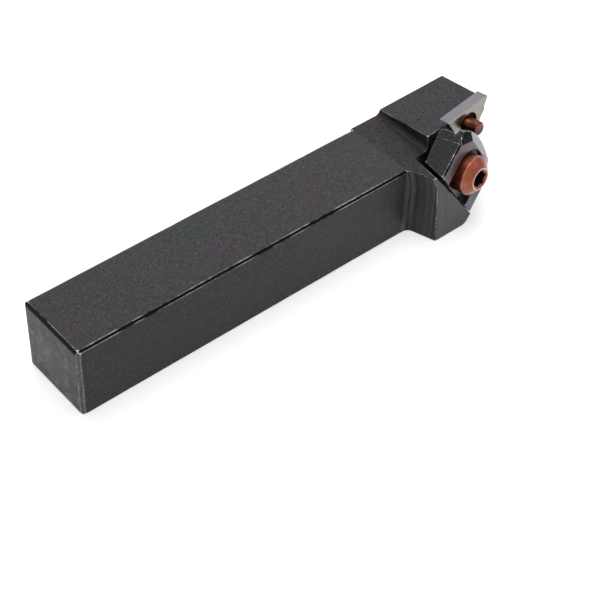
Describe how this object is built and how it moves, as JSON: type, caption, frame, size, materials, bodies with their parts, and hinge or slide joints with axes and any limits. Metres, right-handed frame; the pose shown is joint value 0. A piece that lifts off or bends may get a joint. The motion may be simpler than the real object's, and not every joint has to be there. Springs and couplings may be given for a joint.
{
  "type": "turning tool holder",
  "caption": "External turning tool holder for a lathe: square shank, offset head with a triangular insert seat, locating pin and a wedge clamp drawn down by a socket screw.",
  "frame": {"origin": "middle of the rear end's edge on the side face that the holder lies on", "axes": "+X along the shank towards the cutting head, -Y the side that carries the insert (the tool's top in use), +Z the cutting side"},
  "size_m": [0.125, 0.0297, 0.0262],
  "materials": {
    "black_oxide_body": "black oxide on milled and ground steel, with brighter worn edges",
    "black_oxide_wedge": "black oxide on fine milled steel",
    "ground_plate": "ground, light grey",
    "browned_fastener": "copper-brown temper colour, polished on the edges",
    "spring_steel": "dark spring steel"
  },
  "bodies": {
    "holder": {"holder_body": "black_oxide_body", "shim": "ground_plate", "locating_pin": "browned_fastener"},
    "wedge": {"wedge_clamp": "black_oxide_wedge"},
    "screw": {"clamp_screw": "browned_fastener", "retaining_ring": "spring_steel"}
  },
  "joints": [
    {"name": "wedge_lift", "type": "slide", "parent": "holder", "child": "wedge", "axis": [0.104, -0.9891, 0.104], "range_m": [0, 0.003]},
    {"name": "clamp_screw_turn", "type": "hinge", "parent": "wedge", "child": "screw", "pos_m": [0.10939, -0.01388, 0.01463], "axis": [0.104, -0.9891, 0.104], "range_deg": [0, 1080]}
  ],
  "couplings": [
    {"joint": "clamp_screw_turn", "follows": "wedge_lift", "rad_per_m": 6283}
  ]
}
